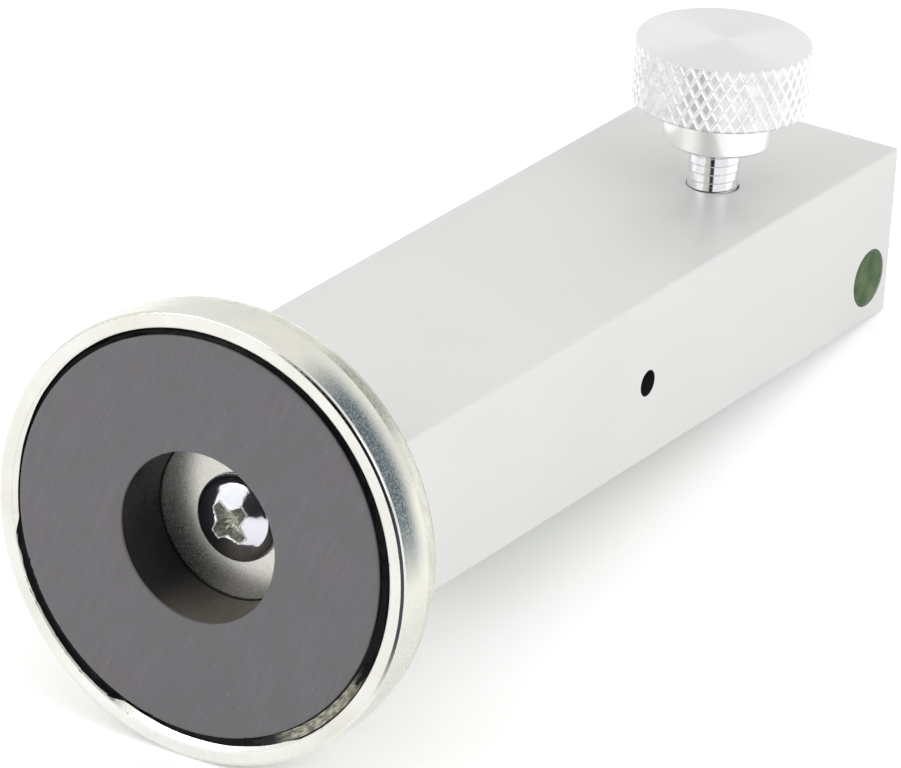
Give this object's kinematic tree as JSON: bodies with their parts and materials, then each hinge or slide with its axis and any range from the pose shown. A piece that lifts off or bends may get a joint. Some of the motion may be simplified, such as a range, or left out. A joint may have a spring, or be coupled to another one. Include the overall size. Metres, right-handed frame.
{
  "type": "camber caster gauge",
  "caption": "Magnetic bar gauge for wheel alignment: pot magnet on one end of an aluminium bar, spirit vials set in the bar, and a thumb screw that tilts the caster vial.",
  "frame": {"origin": "centre of the magnet's flat face", "axes": "+X along the bar from the magnet's face to the far end, +Z towards the thumb knob, +Y across the bar"},
  "size_m": [0.124, 0.05, 0.0525],
  "materials": {
    "anodised_aluminium": "satin, fine machined grain",
    "zinc_plated_steel": "bright zinc plating with small nicks",
    "ferrite": "ground ceramic ferrite, matt",
    "magnet_adhesive": "set black adhesive",
    "nickel_plated_screw": "polished plated steel",
    "turned_knob_metal": "bright turned top, knurled edge",
    "thread_steel": "bright rolled thread",
    "tip_brass": "turned brass",
    "cradle_aluminium": "dark anodised, milled",
    "pin_steel": "ground steel",
    "spring_steel": "drawn spring wire",
    "vial_glass": "clear polished glass",
    "vial_liquid": "dyed green spirit",
    "vial_plug_plastic": "moulded stopper",
    "setting_compound": "set white compound",
    "printed_strip": "white strip, printed black marks"
  },
  "bodies": {
    "bar": {"gauge_body": "anodised_aluminium", "magnet_cup": "zinc_plated_steel", "ferrite_ring": "ferrite", "bonding_ring": "magnet_adhesive", "magnet_screw": "nickel_plated_screw", "pivot_pin": "pin_steel", "return_spring": "spring_steel", "camber_vial_tube": "vial_glass", "camber_vial_plug": "vial_plug_plastic", "camber_vial_liquid": "vial_liquid", "level_vial_tube": "vial_glass", "level_vial_plug": "vial_plug_plastic", "level_vial_liquid": "vial_liquid", "camber_bed": "setting_compound", "caster_strip": "printed_strip", "camber_strip": "printed_strip"},
    "tip": {"screw_tip": "tip_brass"},
    "knob": {"thumb_knob": "turned_knob_metal", "thumb_stud": "thread_steel"},
    "cradle": {"caster_cradle": "cradle_aluminium", "caster_vial_tube": "vial_glass", "caster_vial_plug": "vial_plug_plastic", "caster_vial_liquid": "vial_liquid"}
  },
  "joints": [
    {"name": "tip_slide", "type": "slide", "parent": "bar", "child": "tip", "axis": [0, 0, 1], "range_m": [-0.002, 0.002]},
    {"name": "knob_turn", "type": "hinge", "parent": "tip", "child": "knob", "pos_m": [0.1004, -0.0039, 0.01], "axis": [0, 0, 1], "range_deg": [-720, 720]},
    {"name": "cradle_tilt", "type": "hinge", "parent": "bar", "child": "cradle", "pos_m": [0.068, -0.0039, -0.0006], "axis": [0, -1, 0], "range_deg": [-3.54, 3.54], "deforming": ["return_spring"]}
  ],
  "couplings": [
    {"joint": "tip_slide", "follows": "knob_turn", "m_per_rad": 0.00015915},
    {"joint": "cradle_tilt", "follows": "knob_turn", "ratio": 0.0049122}
  ]
}
